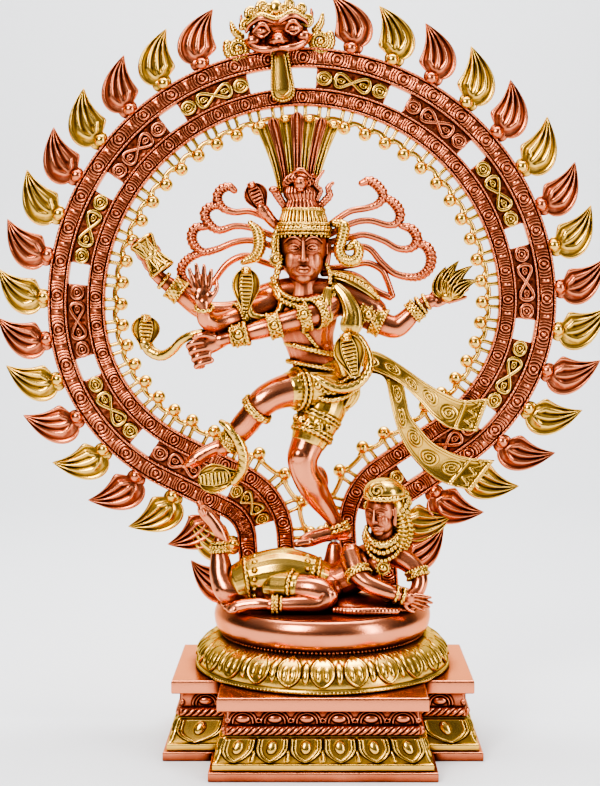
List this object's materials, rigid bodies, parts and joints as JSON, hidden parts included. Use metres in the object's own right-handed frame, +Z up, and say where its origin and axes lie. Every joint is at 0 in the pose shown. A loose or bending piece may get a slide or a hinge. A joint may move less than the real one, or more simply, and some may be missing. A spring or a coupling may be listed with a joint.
{
  "type": "nataraja statue",
  "caption": "Two-tone cast brass dancing figure over a dwarf, in an upright double ring of flames, on a lotus base and stepped cross-plan plinth.",
  "frame": {"origin": "centre of the plinth's underside, on the surface that the statue stands on", "axes": "+Z up; the figure faces -Y; +X towards the flame hand, on the viewer's right"},
  "size_m": [0.4167, 0.192, 0.5038],
  "materials": {
    "copper": "copper-toned, polished high spots over dark recesses",
    "brass": "yellow, polished high spots over dark recesses",
    "fasteners": "plain zinc-plated steel"
  },
  "bodies": {
    "root": {"foot_slab": "copper", "rope_moulding": "copper", "frieze_course": "copper", "cap_slab": "copper", "dais": "copper", "dwarf_body": "copper", "dwarf_head": "copper", "torso": "copper", "standing_leg": "copper", "raised_leg": "copper", "head": "copper", "crown": "copper", "hair_cobra": "copper", "hair_locks_left": "copper", "hair_locks_right": "copper", "drum_arm": "copper", "blessing_arm": "copper", "pointing_arm": "copper", "flame_arm": "copper", "arch_inner_band": "copper", "arch_outer_band": "copper", "scroll_links_copper": "copper", "flames_copper": "copper", "crest_mask": "copper", "petal_course": "brass", "lotus_base": "brass", "dwarf_wig": "brass", "dwarf_shorts": "brass", "dwarf_collar": "brass", "dwarf_bangles": "brass", "loincloth": "brass", "waist_belts": "brass", "diadem": "brass", "ear_garland": "brass", "ear_serpents": "brass", "necklace": "brass", "serpent_canopy": "brass", "drum": "brass", "palm_flame": "brass", "arm_bangles": "brass", "shoulder_serpent": "brass", "shoulder_ribbons": "brass", "hand_serpent": "brass", "waist_serpent": "brass", "sash_upper": "brass", "sash_lower": "brass", "ankle_serpent": "brass", "anklets": "brass", "fringe_rail": "brass", "fringe_beads": "brass", "scroll_links_brass": "brass", "flames_brass": "brass", "crest_scrolls": "brass", "crest_tongue": "brass", "pedestal_bolt": "fasteners", "pedestal_washer": "fasteners", "figure_stud": "fasteners"}
  },
  "joints": []
}
